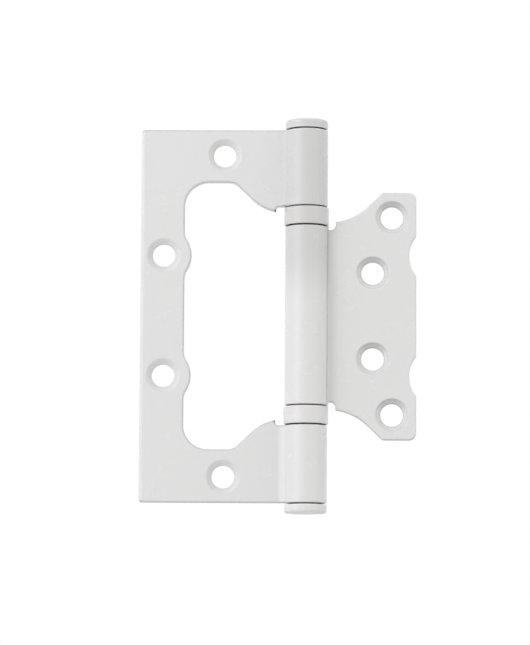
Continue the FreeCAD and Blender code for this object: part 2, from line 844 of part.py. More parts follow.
def ball_set(name, flipped):
    """The balls of one bearing, in one group."""
    balls = []
    count = int(size("ball_count"))
    for number in range(count):
        turn = f"({number} * 360 / Sizes.ball_count)"
        ball = document.addObject("Part::Sphere", f"{name}_{number + 1}")
        ball.setExpression("Radius", "Sizes.ball_radius")
        ball.setExpression("Placement.Base.x", f"Sizes.pitch_radius * cos{turn}")
        ball.setExpression("Placement.Base.y", f"Sizes.pitch_radius * sin{turn}")
        balls.append(ball)
    group = document.addObject("Part::Compound", name)
    group.Label = name
    group.Links = balls
    document.recompute()
    stand(group, "bearing_level", flipped)
    return group


def bearing(place, flipped):
    """One thrust bearing. Fixed race and collar go with the frame leaf, the turning race with the door."""
    return [
        collar(place + "_bearing_collar", flipped),
        race(place + "_fixed_race", "collar_bore", 1, flipped),
        race(place + "_turning_race", "turning_race_radius", -1, flipped),
        ball_cage(place + "_ball_cage", flipped),
        ball_set(place + "_bearing_balls", flipped),
    ]


def check(nodes):
    """Stop with the names of whatever failed to build."""
    document.recompute()
    for item in document.Objects:
        if "Invalid" in item.State or "Error" in item.State:
            raise RuntimeError(f"{item.Name} has the state {item.State}")
    for node in nodes:
        if node.Shape.isNull() or not node.Shape.isValid():
            raise RuntimeError(f"{node.Label} has no valid shape")


def main():
    """Build every node and write one file for each."""
    fill_sheet()
    nodes = [frame_leaf(), door_leaf(), hinge_pin(), end_cap("top_cap", False), end_cap("bottom_cap", True)]
    for place, flipped in (("upper", False), ("lower", True)):
        nodes.extend(bearing(place, flipped))
    check(nodes)
    os.makedirs("parts", exist_ok=True)
    for node in nodes:
        node.Shape.exportStep(f"parts/{node.Label}.step")
        box = node.Shape.BoundBox
        spans = f"{box.XLength:.2f} x {box.YLength:.2f} x {box.ZLength:.2f}"
        print(f"{node.Label}: {node.Shape.Volume:.1f} mm3, {spans}")


main()
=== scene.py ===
"""Looks of a white powder-coated door hinge with ball bearings, opened flat.

Everything is in metres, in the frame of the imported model: the pin stands along Z, both leaves lie in the
XZ plane with their fixing faces towards +Y, and the camera looks along +Y at the countersunk side.
"""

import logging
import math
from dataclasses import dataclass, replace
from enum import Enum

import bmesh
import bpy
import numpy as np
from mathutils import Matrix, Vector


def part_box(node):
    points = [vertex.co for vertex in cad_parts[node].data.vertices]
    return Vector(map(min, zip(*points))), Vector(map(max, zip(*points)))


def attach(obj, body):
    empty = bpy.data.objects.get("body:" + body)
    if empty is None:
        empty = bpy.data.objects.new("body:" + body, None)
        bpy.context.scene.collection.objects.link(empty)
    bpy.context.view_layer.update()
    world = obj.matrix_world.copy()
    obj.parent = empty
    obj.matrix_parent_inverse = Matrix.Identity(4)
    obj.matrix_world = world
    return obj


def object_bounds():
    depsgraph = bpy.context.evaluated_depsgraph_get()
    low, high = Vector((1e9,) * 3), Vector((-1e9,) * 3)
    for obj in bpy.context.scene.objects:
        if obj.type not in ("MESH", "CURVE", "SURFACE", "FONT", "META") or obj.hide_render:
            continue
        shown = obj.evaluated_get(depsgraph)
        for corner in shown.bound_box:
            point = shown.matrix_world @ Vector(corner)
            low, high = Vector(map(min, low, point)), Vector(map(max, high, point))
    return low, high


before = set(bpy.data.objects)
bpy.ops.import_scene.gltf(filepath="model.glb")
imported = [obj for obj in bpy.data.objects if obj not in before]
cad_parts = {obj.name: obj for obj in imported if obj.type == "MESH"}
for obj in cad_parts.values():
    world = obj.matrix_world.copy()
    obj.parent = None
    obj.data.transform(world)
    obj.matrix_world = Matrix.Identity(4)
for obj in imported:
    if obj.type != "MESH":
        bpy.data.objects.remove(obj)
CAD_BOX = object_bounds()

LOG = logging.getLogger("hinge")
MM = 0.001
PIN = (38.7 * MM, -1.25 * MM, 0.0)
BLACK = (0.0, 0.0, 0.0, 1.0)
WHITE = (1.0, 1.0, 1.0, 1.0)

Colour = tuple[float, float, float]
Point = tuple[float, float, float]
Socket = bpy.types.NodeSocket

# Places of a Mix node's colour sockets, whose names are the same for every kind of value.
MIX_FIRST, MIX_SECOND, MIX_RESULT = 6, 7, 2


class End(Enum):
    """The two ends of the hinge, each with its sign along the pin."""

    UPPER = 1.0
    LOWER = -1.0

    @property
    def label(self) -> str:
        """The end's word in the names of pieces."""
        return self.name.lower()


class Ease(Enum):
    """How a ramp runs between its two ends."""

    STRAIGHT = "LINEAR"
    SOFT = "SMOOTHSTEP"


class Nodes:
    """The node tree of a material or of the world, with short calls to add nodes and join them."""

    def __init__(self, owner: bpy.types.Material | bpy.types.World, output: str) -> None:
        """Empties the owner's tree and adds its output.

        Args:
            owner: The material or the world.
            output: The output node's type, without its "ShaderNode" start.
        """
        owner.use_nodes = True
        self.owner = owner
        self.tree = owner.node_tree
        self.tree.nodes.clear()
        self.output = self.add(output)

    @classmethod
    def of_material(cls, name: str) -> "Nodes":
        """Starts the tree of a new material."""
        return cls(bpy.data.materials.new(name), "OutputMaterial")

    def add(self, kind: str, settings: dict | None = None, **values: object) -> bpy.types.Node:
        """Adds one node.

        Args:
            kind: The node's type, without its "ShaderNode" start.
            settings: Properties of the node itself.
            values: Socket values by name, with spaces written as underscores; an output socket is linked.

        Returns:
            The new node.
        """
        node = self.tree.nodes.new("ShaderNode" + kind)
        for name, value in (settings or {}).items():
            setattr(node, name, value)
        for name, value in values.items():
            self.put(node, name.replace("_", " "), value)
        return node

    def put(self, node: bpy.types.Node, socket: str | int, value: object) -> None:
        """Sets an input socket to a value, or links an output socket to it.

        Args:
            node: The node that has the input.
            socket: The input's name or place.
            value: A number, a colour or another node's output socket.
        """
        target = node.inputs[socket]
        if isinstance(value, Socket):
            self.tree.links.new(value, target)
        else:
            target.default_value = value

    def place(self) -> Socket:
        """The point's place in the piece's own coordinates."""
        return self.add("TexCoord").outputs["Object"]

    def math(self, operation: str, first: Socket | float, second: Socket | float = 0.0) -> Socket:
        """Works out one value from one or two others.

        Args:
            operation: The sum's name, such as MULTIPLY.
            first: The first value.
            second: The second value, where the sum has one.

        Returns:
            The result.
        """
        node = self.add("Math", {"operation": operation})
        self.put(node, 0, first)
        self.put(node, 1, second)
        return node.outputs[0]

    def distance(self, first: Socket, second: Point) -> Socket:
        """The distance from a point to a fixed one.

        Args:
            first: The point.
            second: The fixed point.

        Returns:
            The distance.
        """
        node = self.add("VectorMath", {"operation": "DISTANCE"})
        self.put(node, 0, first)
        self.put(node, 1, second)
        return node.outputs["Value"]

    def noise(self, grain: float, detail: float, roughness: float = 0.5,
              place: Socket | None = None) -> Socket:
        """A noise pattern on the piece's own coordinates.

        Args:
            grain: Width of one grain of the pattern, in metres.
            detail: Octaves of finer noise that ride on it.
            roughness: How strong the finer octaves are.
            place: The coordinates, where they aren't the piece's plain ones.

        Returns:
            The noise's value, about 0 to 1 with its middle at 0.5.
        """
        node = self.add("TexNoise", Vector=place or self.place(), Scale=1.0 / grain, Detail=detail,
                        Roughness=roughness)
        return node.outputs[0]

    def ramp(self, value: Socket, start: float, end: float, low: float, high: float,
             ease: Ease = Ease.SOFT) -> Socket:
        """Turns one range of a value into another, held at both ends.

        Args:
            value: The value.
            start: Where the ramp starts.
            end: Where the ramp ends.
            low: The result up to the start.
            high: The result from the end on.
            ease: How it runs in between.

        Returns:
            The result.
        """
        node = self.add("MapRange", {"interpolation_type": ease.value}, Value=value, From_Min=start,
                        From_Max=end, To_Min=low, To_Max=high)
        return node.outputs[0]

    def spread(self, noise: Socket, low: float = 0.0, high: float = 1.0) -> Socket:
        """Spreads a noise from one value to another, with no flat patches where it ends."""
        return self.ramp(noise, 0.0, 1.0, low, high)

    def mix(self, share: Socket, first: object, second: object) -> Socket:
        """Mixes two colours.

        Args:
            share: How much of the second colour there is, 0 to 1.
            first: A colour or a colour socket.
            second: A colour or a colour socket.

        Returns:
            The mixed colour.
        """
        node = self.add("Mix", {"data_type": "RGBA"}, Factor=share)
        self.put(node, MIX_FIRST, first)
        self.put(node, MIX_SECOND, second)
        return node.outputs[MIX_RESULT]

    def darken(self, colour: Socket, share: Socket, mask: Socket) -> Socket:
        """Mixes black into a colour.

        Args:
            colour: The colour.
            share: How much black there is, 0 to 1.
            mask: Where it is, 0 to 1.

        Returns:
            The darker colour.
        """
        return self.mix(self.math("MULTIPLY", share, mask), colour, BLACK)

    def finish(self, shader: bpy.types.Node) -> bpy.types.Material | bpy.types.World:
        """Joins the last shader to the output.

        Args:
            shader: The shader that the surface or the world shows.

        Returns:
            The finished material or world.
        """
        self.tree.links.new(shader.outputs[0], self.output.inputs["Surface"])
        return self.owner


@dataclass(frozen=True)
class PaintedShadeAndHighlight:
    """Painted light and shade in the paint's colour.

    A painted shade greys the barrel's upper half, the leaf beside the barrel's foot, as the barrel's
    shadow, and the edges that face down. A painted highlight lightens the rims of the barrel's pieces. A
    painted shade greys the other stamped edges.

    Attributes:
        reach: Distance from the pin's axis at which the barrel ends for the paint.
        fade: Width over which it ends.
        upper_shade_start: Height at which the painted shade on the barrel's upper half starts.
        upper_shade_full: Height from which that painted shade is full.
        upper_shade: Share of black in it.
        rim_width: Depth of metal that counts as a rim or an edge.
        rim_sharp: Share of open metal that a sharp rim has.
        rim_flat: Share of open metal from which a face counts as flat.
        painted_rim_highlight: Share of white painted on the barrel's rims as a highlight.
        rim_samples: Rays that look for the rims.
        edge_shade: Share of black painted as shade on the edges of the rest.
        foot_reach: Distance from the pin's axis at which the painted shadow beside the barrel ends.
        foot_shade: Share of black painted beside the barrel as its shadow.
        under_full: Upward part of the normal at which an edge is wholly an underside.
        under_none: Upward part of the normal at which it is none.
        under_shade: Share of black painted as shade on undersides.
    """

    reach: float = 6.2 * MM
    fade: float = 0.5 * MM
    upper_shade_start: float = 1.5 * MM
    upper_shade_full: float = 18.0 * MM
    upper_shade: float = 0.15
    rim_width: float = 0.7 * MM
    rim_sharp: float = 0.55
    rim_flat: float = 0.9
    painted_rim_highlight: float = 0.8
    rim_samples: int = 8
    edge_shade: float = 0.0
    foot_reach: float = 9.2 * MM
    foot_shade: float = 0.0
    under_full: float = -0.8
    under_none: float = -0.1
    under_shade: float = 0.0

    def apply(self, nodes: Nodes, colour: Socket) -> Socket:
        """Paints shade and highlights into a colour, by the distance from the pin's axis, the height and the
        way the face points.

        Args:
            nodes: The paint's node tree.
            colour: The paint's colour so far.

        Returns:
            The toned colour.
        """
        parts = nodes.add("SeparateXYZ", Vector=nodes.place())
        flat = nodes.add("CombineXYZ", X=parts.outputs["X"], Y=parts.outputs["Y"])
        radius = nodes.distance(flat.outputs[0], PIN)
        barrel = nodes.ramp(radius, self.reach, self.reach + self.fade, 1.0, 0.0)
        rest = nodes.math("SUBTRACT", 1.0, barrel)
        # Painted shade: the barrel greys towards its upper end.
        above = nodes.ramp(parts.outputs["Z"], self.upper_shade_start, self.upper_shade_full, 0.0, self.upper_shade)
        colour = nodes.darken(colour, above, barrel)
        # Painted shadow of the barrel on the leaf beside it.
        if self.foot_shade:
            foot = nodes.ramp(radius, self.reach, self.foot_reach, self.foot_shade, 0.0)
            colour = nodes.darken(colour, foot, rest)
        # Painted shade on the faces that point down.
        if self.under_shade:
            facing = nodes.add("SeparateXYZ", Vector=nodes.add("TexCoord").outputs["Normal"]).outputs["Z"]
            under = nodes.ramp(facing, self.under_full, self.under_none, self.under_shade, 0.0)
            colour = nodes.darken(colour, under, rest)
        return self.edge(nodes, colour, barrel)

    def edge(self, nodes: Nodes, colour: Socket, barrel: Socket) -> Socket:
        """Paints a highlight on the rims of the barrel's pieces and paints shade on the other edges.

        Args:
            nodes: The paint's node tree.
            colour: The paint's colour so far.
            barrel: Where the barrel is, 0 to 1.

        Returns:
            The colour with its edges.
        """
        sampling = {"samples": self.rim_samples, "inside": True, "only_local": True}
        metal = nodes.add("AmbientOcclusion", sampling, Distance=self.rim_width).outputs["AO"]
        rim = nodes.ramp(metal, self.rim_sharp, self.rim_flat, 1.0, 0.0)
        # Painted highlight in white on the barrel's rims, painted shade in black on the other edges.
        amount = nodes.ramp(barrel, 0.0, 1.0, self.edge_shade, self.painted_rim_highlight, Ease.STRAIGHT)
        tone = nodes.mix(barrel, BLACK, WHITE)
        return nodes.mix(nodes.math("MULTIPLY", amount, rim), colour, tone)


@dataclass(frozen=True)
class SinkRings:
    """Thin rings of painted shade at the rim and at the foot of each countersink.

    Every hole of the leaf is one of a pair, at the same height above and below the hinge's middle.

    Attributes:
        holes: Middle of the upper hole of each pair.
        rim: Radius of the ring at the countersink's rim.
        rim_shade: Share of black in it.
        foot: Radius of the ring at the countersink's foot.
        foot_shade: Share of black in it.
        width: How far each ring fades to both sides.
        back: Level behind which nothing is drawn, inside the sheet.
    """

    holes: tuple[Point, ...] = ((56.7 * MM, 0.0, 11.7 * MM), (61.9 * MM, 0.0, 26.9 * MM))
    rim: float = 4.25 * MM
    rim_shade: float = 0.085
    foot: float = 3.15 * MM
    foot_shade: float = 0.12
    width: float = 0.38 * MM
    back: float = -0.8 * MM

    def apply(self, nodes: Nodes, colour: Socket) -> Socket:
        """Draws both rings round each hole, by the distance to its middle.

        Args:
            nodes: The paint's node tree.
            colour: The paint's colour so far.

        Returns:
            The ringed colour.
        """
        parts = nodes.add("SeparateXYZ", Vector=nodes.place())
        height = nodes.math("ABSOLUTE", parts.outputs["Z"])
        flat = nodes.add("CombineXYZ", X=parts.outputs["X"], Z=height)
        front = nodes.math("LESS_THAN", parts.outputs["Y"], self.back)
        for hole in self.holes:
            apart = nodes.distance(flat.outputs[0], hole)
            # Painted shade along each countersink's rim and foot.
            for radius, shade in ((self.rim, self.rim_shade), (self.foot, self.foot_shade)):
                miss = nodes.math("ABSOLUTE", nodes.math("SUBTRACT", apart, radius))
                ring = nodes.ramp(miss, 0.0, self.width, shade, 0.0)
                colour = nodes.darken(colour, ring, front)
        return colour


@dataclass(frozen=True)
class PowderCoat:
    """Baked powder paint: a soft satin skin with a faint orange peel that rounds every stamped edge.

    Attributes:
        name: The material's name.
        colour: The paint's colour.
        roughness: Middle of the skin's roughness.
        roughness_spread: How far the roughness goes to both sides of it.
        mottle: Share by which the colour goes lighter and darker.
        detail: Octaves of the mottling and of the specks.
        cloud_grain: Grain of the broad mottling.
        peel_grain: Grain of the orange peel.
        peel_detail: Octaves of the orange peel.
        peel_height: Height of the orange peel.
        speck_grain: Grain of the fine specks.
        speck_sharpness: How strong the finer octaves of the specks are.
        speck_height: Height of the fine specks.
        edge_radius: Radius to which the paint rounds an edge.
        edge_samples: Rays that look for the edges.
        crevice_reach: How near another surface is in a gap that gets painted shade.
        crevice_start: Share of open sky up to which the painted shade is full.
        crevice_end: Share of open sky from which there is no painted shade.
        crevice_tone: Tone of the painted shade in the gap.
        crevice_samples: Rays that look for the gaps.
        tone: The painted shade and highlights that change the colour from place to place.
        rings: The painted shade rings in the countersinks, where they show.
    """

    name: str
    colour: Colour
    roughness: float = 0.27
    roughness_spread: float = 0.01
    mottle: float = 0.004
    detail: float = 3.0
    cloud_grain: float = 6.0 * MM
    peel_grain: float = 1.1 * MM
    peel_detail: float = 2.0
    peel_height: float = 0.0035 * MM
    speck_grain: float = 0.28 * MM
    speck_sharpness: float = 0.6
    speck_height: float = 0.0015 * MM
    edge_radius: float = 0.5 * MM
    edge_samples: int = 6
    crevice_reach: float = 0.9 * MM
    crevice_start: float = 0.12
    crevice_end: float = 0.42
    crevice_tone: float = 0.02
    crevice_samples: int = 8
    tone: PaintedShadeAndHighlight = PaintedShadeAndHighlight()
    rings: SinkRings | None = None

    def mottled(self, nodes: Nodes, cloud: Socket, speck: Socket) -> Socket:
        """The paint's own colour, darker in the clouds and lighter in the specks.

        Args:
            nodes: The paint's node tree.
            cloud: The broad noise.
            speck: The fine noise.

        Returns:
            The colour.
        """
        dark = tuple(part * (1.0 - self.mottle) for part in self.colour) + (1.0,)
        light = tuple(min(1.0, part * (1.0 + self.mottle)) for part in self.colour) + (1.0,)
        shade = nodes.mix(nodes.spread(cloud), dark, self.colour + (1.0,))
        return nodes.mix(nodes.spread(speck), shade, light)

    def skin(self, nodes: Nodes, speck: Socket) -> Socket:
        """The paint's surface: edges rounded first, then the orange peel and the specks on it.

        Args:
            nodes: The paint's node tree.
            speck: The fine noise.

        Returns:
            The surface's normal.
        """
        rounded = nodes.add("Bevel", {"samples": self.edge_samples}, Radius=self.edge_radius)
        peel = nodes.add("Bump", Strength=1.0, Distance=self.peel_height,
                         Height=nodes.noise(self.peel_grain, self.peel_detail), Normal=rounded.outputs[0])
        grain = nodes.add("Bump", Strength=1.0, Distance=self.speck_height, Height=speck,
                          Normal=peel.outputs[0])
        return grain.outputs[0]

    def painted_crevice_shade(self, nodes: Nodes, colour: Socket) -> Socket:
        """Paints shade into a colour inside narrow gaps, darkest where a point is most closed in.

        Args:
            nodes: The paint's node tree.
            colour: The paint's colour so far.

        Returns:
            The colour with dark gaps.
        """
        sky = nodes.add("AmbientOcclusion", {"samples": self.crevice_samples}, Distance=self.crevice_reach)
        paint = nodes.ramp(sky.outputs["AO"], self.crevice_start, self.crevice_end, 0.0, 1.0)
        # Painted shade: near black in the gaps.
        steel = (self.crevice_tone,) * 3 + (1.0,)
        return nodes.mix(paint, steel, colour)

    def material(self) -> bpy.types.Material:
        """Builds the paint.

        Returns:
            The material.
        """
        nodes = Nodes.of_material(self.name)
        cloud = nodes.noise(self.cloud_grain, self.detail)
        speck = nodes.noise(self.speck_grain, self.detail, self.speck_sharpness)
        colour = self.tone.apply(nodes, self.mottled(nodes, cloud, speck))
        if self.rings:
            colour = self.rings.apply(nodes, colour)
        rough = nodes.spread(cloud, self.roughness - self.roughness_spread,
                             self.roughness + self.roughness_spread)
        shader = nodes.add("BsdfPrincipled", Base_Color=self.painted_crevice_shade(nodes, colour), Roughness=rough,
                           Normal=self.skin(nodes, speck))
        return nodes.finish(shader)


@dataclass(frozen=True)
class BareMetal:
    """Machined or drawn metal, with the fine marks of its making.

    Attributes:
        name: The material's name.
        colour: The metal's colour between the marks.
        roughness: Middle of its roughness.
        grain: Width of one mark.
        detail: Octaves of the marks.
        height: Height of the marks.
        stretch: How much finer the marks are along each axis.
        mark_tone: Share of the colour that a mark keeps.
        smoothest: Share of the roughness that the smoothest marks have.
        roughest: Share of the roughness that the roughest marks have.
    """

    name: str
    colour: Colour
    roughness: float
    grain: float
    height: float
    stretch: tuple[float, float, float] = (1.0, 1.0, 1.0)
    detail: float = 3.0
    mark_tone: float = 0.88
    smoothest: float = 0.8
    roughest: float = 1.25

    def material(self) -> bpy.types.Material:
        """Builds the metal.

        Returns:
            The material.
        """
        nodes = Nodes.of_material(self.name)
        stretched = nodes.add("Mapping", Vector=nodes.place(), Scale=self.stretch)
        marks = nodes.noise(self.grain, self.detail, place=stretched.outputs[0])
        dark = tuple(part * self.mark_tone for part in self.colour) + (1.0,)
        colour = nodes.mix(nodes.spread(marks), dark, self.colour + (1.0,))
        rough = nodes.spread(marks, self.roughness * self.smoothest, self.roughness * self.roughest)
        bump = nodes.add("Bump", Strength=1.0, Distance=self.height, Height=marks)
        shader = nodes.add("BsdfPrincipled", Base_Color=colour, Metallic=1.0, Roughness=rough,
                           Normal=bump.outputs[0])
        return nodes.finish(shader)


LEAF_COAT = PowderCoat("leaf_paint", (0.78, 0.78, 0.78))


def put_in_scene(name: str, data: bpy.types.ID) -> bpy.types.Object:
    """Adds an object to the scene.

    Args:
        name: The object's name.
        data: Its mesh, lamp or camera.

    Returns:
        The object.
    """
    thing = bpy.data.objects.new(name, data)
    bpy.context.scene.collection.objects.link(thing)
    return thing


def turn_outward(mesh: bpy.types.Mesh) -> None:
    """Turns a closed mesh's faces outwards.

    Args:
        mesh: The mesh.
    """
    shape = bmesh.new()
    shape.from_mesh(mesh)
    bmesh.ops.recalc_face_normals(shape, faces=shape.faces)
    shape.to_mesh(mesh)
    shape.free()


def dress(node: str, material: bpy.types.Material) -> None:
    """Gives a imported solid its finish.

    Args:
        node: The solid's name.
        material: The finish.
    """
    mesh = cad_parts[node].data
    mesh.materials.clear()
    mesh.materials.append(material)
    LOG.info("%s: %s", node, material.name)


@dataclass
class SeamBead:
    """The bead of paint that fills the corner where a rolled knuckle comes back to the frame leaf.

    Its section is a hollow arc that rises out of the leaf's face and would touch the barrel. It stops short
    of the barrel and turns in to it there, which leaves a faint crease. Its back lies just inside the metal.

    Attributes:
        end: The end of the hinge that it is at.
        inner: Its nearer end's distance from the hinge's middle.
        outer: Its farther end's distance from the hinge's middle.
        barrel_radius: Outer radius of the knuckle.
        face_depth: Distance from the pin's axis to the leaf's front face.
        hollow_radius: Radius of the hollow arc.
        climb: Share of the arc that there is, from the leaf towards the barrel.
        crease: Angle round the pin by which the bead turns in where the arc stops.
        sink: How deep its back lies in the metal.
        start_sink: How deep the arc starts in the leaf.
        steps: Points along the arc.
        sharp_angle: Turn between faces from which an edge is sharp, in degrees.
    """

    end: End
    inner: float
    outer: float
    barrel_radius: float = 5.75 * MM
    face_depth: float = 1.25 * MM
    hollow_radius: float = 3.5 * MM
    climb: float = 0.67
    crease: float = 0.045
    sink: float = 0.06 * MM
    start_sink: float = 0.02 * MM
    steps: int = 20
    sharp_angle: float = 25.0

    def section(self) -> np.ndarray:
        """The bead's outline across the pin.

        The arc is the hollow's centre plus its radius times the cosine and sine of a turn. The turn runs
        from straight down, at the leaf, towards the point that faces the pin, at the barrel.

        Returns:
            Rows of reach along the leaf and height towards the viewer, both measured from the pin's axis.
        """
        height = self.face_depth - self.start_sink + self.hollow_radius
        reach = math.sqrt((self.barrel_radius + self.hollow_radius) ** 2 - height**2)
        start = -math.pi / 2
        touch = -math.pi + math.atan2(height, reach)
        turn = start + (touch - start) * self.climb * np.linspace(0.0, 1.0, self.steps)
        circle = np.stack([np.cos(turn), np.sin(turn)], axis=1)
        arc = np.array([reach, height]) + self.hollow_radius * circle
        inner = self.barrel_radius - self.sink
        low = self.face_depth - self.sink
        foot = math.atan2(arc[-1, 1], arc[-1, 0]) + self.crease
        behind = [
            (inner * math.cos(foot), inner * math.sin(foot)),
            (math.sqrt(inner**2 - low**2), low),
            (arc[0, 0], low),
        ]
        return np.vstack([arc, behind])

    def build(self, material: bpy.types.Material) -> None:
        """Raises the section along the pin and closes both ends. The frame leaf lies towards -X.

        Args:
            material: The paint in the seam.
        """
        name = f"{self.end.label}_seam_paint"
        section = self.section()
        count = len(section)
        x = PIN[0] - section[:, 0]
        y = PIN[1] - section[:, 1]
        levels = np.sort(self.end.value * np.array([self.inner, self.outer]))
        points = np.stack([np.tile(x, 2), np.tile(y, 2), np.repeat(levels, count)], axis=1)
        here, there = np.arange(count), (np.arange(count) + 1) % count
        sides = np.stack([here, there, there + count, here + count], axis=1).tolist()
        faces = sides + [here[::-1].tolist(), (here + count).tolist()]
        mesh = bpy.data.meshes.new(name)
        mesh.from_pydata(points.tolist(), [], faces)
        turn_outward(mesh)
        mesh.shade_smooth()
        mesh.set_sharp_from_angle(angle=math.radians(self.sharp_angle))
        mesh.materials.append(material)
        piece = put_in_scene(name, mesh)
        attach(piece, "frame")
        LOG.info("%s: paint bead, %.1f mm long", name, (self.outer - self.inner) / MM)


@dataclass
class Caps:
    """The two button caps that close the barrel, in the leaves' own paint."""

    coat: PowderCoat = LEAF_COAT

    def build(self) -> None:
        """Dresses both caps."""
        material = self.coat.material()
        for node in ("top_cap", "bottom_cap"):
            dress(node, material)


@dataclass
class DoorLeaf:
    """The smaller leaf, with the middle knuckle.

    Attributes:
        foot_shade: Share of black painted on the leaf beside the barrel as its shadow.
        under_shade: Share of black painted as shade on its undersides.
        crevice_end: Share of open sky from which its painted gap shade ends.
    """

    foot_shade: float = 0.11
    under_shade: float = 0.22
    crevice_end: float = 0.3

    def build(self) -> None:
        """Dresses the leaf."""
        # Painted shadow beside the barrel, painted shade on undersides and painted shade rings in the
        # countersinks.
        tone = replace(LEAF_COAT.tone, foot_shade=self.foot_shade, under_shade=self.under_shade)
        coat = replace(LEAF_COAT, name="door_paint", crevice_end=self.crevice_end, tone=tone,
                       rings=SinkRings())
        dress("door_leaf", coat.material())


@dataclass
class FrameLeaf:
    """The windowed leaf, with both end knuckles and the paint in their seams.

    Attributes:
        edge_shade: Share of black painted as shade on the leaf's stamped edges.
        collar_gap: Gap between a collar and the knuckle beside it.
        knuckle_rim: How far each bead stops from the knuckle's ends.
        seam_reach: Distance from the pin's axis at which the barrel's painted shade on a bead ends.
        seam_fade: Width over which it ends.
    """

    edge_shade: float = 0.9
    collar_gap: float = 0.34 * MM
    knuckle_rim: float = 0.35 * MM
    seam_reach: float = 6.8 * MM
    seam_fade: float = 1.2 * MM

    def build(self) -> None:
        """Dresses the leaf, then fills the seams between its knuckles and its face."""
        # Painted shade on the frame leaf's stamped edges.
        tone = replace(LEAF_COAT.tone, edge_shade=self.edge_shade)
        dress("frame_leaf", replace(LEAF_COAT, name="frame_paint", tone=tone).material())
        self.fill_seams()

    def fill_seams(self) -> None:
        """Lays a bead along each knuckle, from just past the collar to just short of the leaf's end."""
        # The beads take the barrel's painted shade on its upper half, without its painted rim highlight.
        tone = replace(LEAF_COAT.tone, painted_rim_highlight=0.0, reach=self.seam_reach, fade=self.seam_fade)
        material = replace(LEAF_COAT, name="seam_paint", edge_radius=0.0, tone=tone).material()
        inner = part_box("upper_bearing_collar")[1].z + self.collar_gap + self.knuckle_rim
        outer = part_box("frame_leaf")[1].z - self.knuckle_rim
        for end in End:
            SeamBead(end, inner, outer).build(material)


@dataclass
class Bearings:
    """Both ball bearings, each a painted collar, two races, a cage and its balls.

    Attributes:
        collar: The collars' paint, a little warmer than the leaves', with narrower painted rim highlights
            and the barrel's painted shade on its upper half.
        race: The races' hardened steel, turned, so its marks run round the pin, its colour darkened beyond
            the steel's own as painted shade for the gaps where it shows.
        ball: The balls' polished steel.
        cage: The cages' brass.
    """

    collar: PowderCoat = PowderCoat("collar_paint", (0.78, 0.77, 0.765), tone=PaintedShadeAndHighlight(rim_width=0.35 * MM))
    # Dark steel, darkened further as painted shade in the gaps beside the collars.
    race: BareMetal = BareMetal("race_steel", (0.09, 0.088, 0.085), roughness=0.5, grain=0.2 * MM,
                                height=0.002 * MM, stretch=(1.0, 1.0, 8.0))
    ball: BareMetal = BareMetal("ball_steel", (0.72, 0.72, 0.73), roughness=0.06, grain=0.4 * MM,
                                height=0.0003 * MM)
    cage: BareMetal = BareMetal("cage_brass", (0.72, 0.50, 0.22), roughness=0.32, grain=0.3 * MM,
                                height=0.002 * MM)

    def build(self) -> None:
        """Dresses every piece of both bearings."""
        finishes = {"bearing_collar": self.collar, "fixed_race": self.race, "turning_race": self.race,
                    "ball_cage": self.cage, "bearing_balls": self.ball}
        for name, finish in finishes.items():
            material = finish.material()
            for end in End:
                dress(f"{end.label}_{name}", material)


@dataclass
class Pin:
    """The ground steel pin in the barrel, with its marks drawn out along it."""

    steel: BareMetal = BareMetal("pin_steel", (0.55, 0.54, 0.53), roughness=0.28, grain=0.15 * MM,
                                 height=0.002 * MM, stretch=(1.0, 1.0, 0.05))

    def build(self) -> None:
        """Dresses the pin."""
        dress("hinge_pin", self.steel.material())


class Tint(Enum):
    """The colour of a lamp's light."""

    PLAIN = (1.0, 1.0, 1.0)
    WARM = (1.0, 0.985, 0.955)
    COOL = (0.992, 0.996, 1.0)


@dataclass(frozen=True)
class SoftBox:
    """One studio lamp, a square panel turned towards the hinge.

    Attributes:
        name: The lamp's name.
        azimuth: Its place round the hinge, in degrees, 0 at the camera's side and 90 at the right.
        elevation: How high it hangs, in degrees.
        power: Its power, in watts.
        tint: The colour of its light.
        distance: Its distance from the hinge's middle.
        side: The length of its side.
    """

    name: str
    azimuth: float
    elevation: float
    power: float
    tint: Tint = Tint.PLAIN
    distance: float = 1.0
    side: float = 0.6

    def build(self, target: Vector) -> None:
        """Hangs the lamp at its distance from the target, along the direction of its two angles.

        Args:
            target: The point it faces.
        """
        turn, lift = math.radians(self.azimuth), math.radians(self.elevation)
        away = Vector((math.sin(turn) * math.cos(lift), -math.cos(turn) * math.cos(lift), math.sin(lift)))
        lamp = bpy.data.lights.new(self.name, "AREA")
        lamp.energy = self.power
        lamp.color = self.tint.value
        lamp.shape = "SQUARE"
        lamp.size = self.side
        holder = put_in_scene(self.name, lamp)
        holder.location = target + away * self.distance
        holder.rotation_euler = (-away).to_track_quat("-Z", "Y").to_euler()


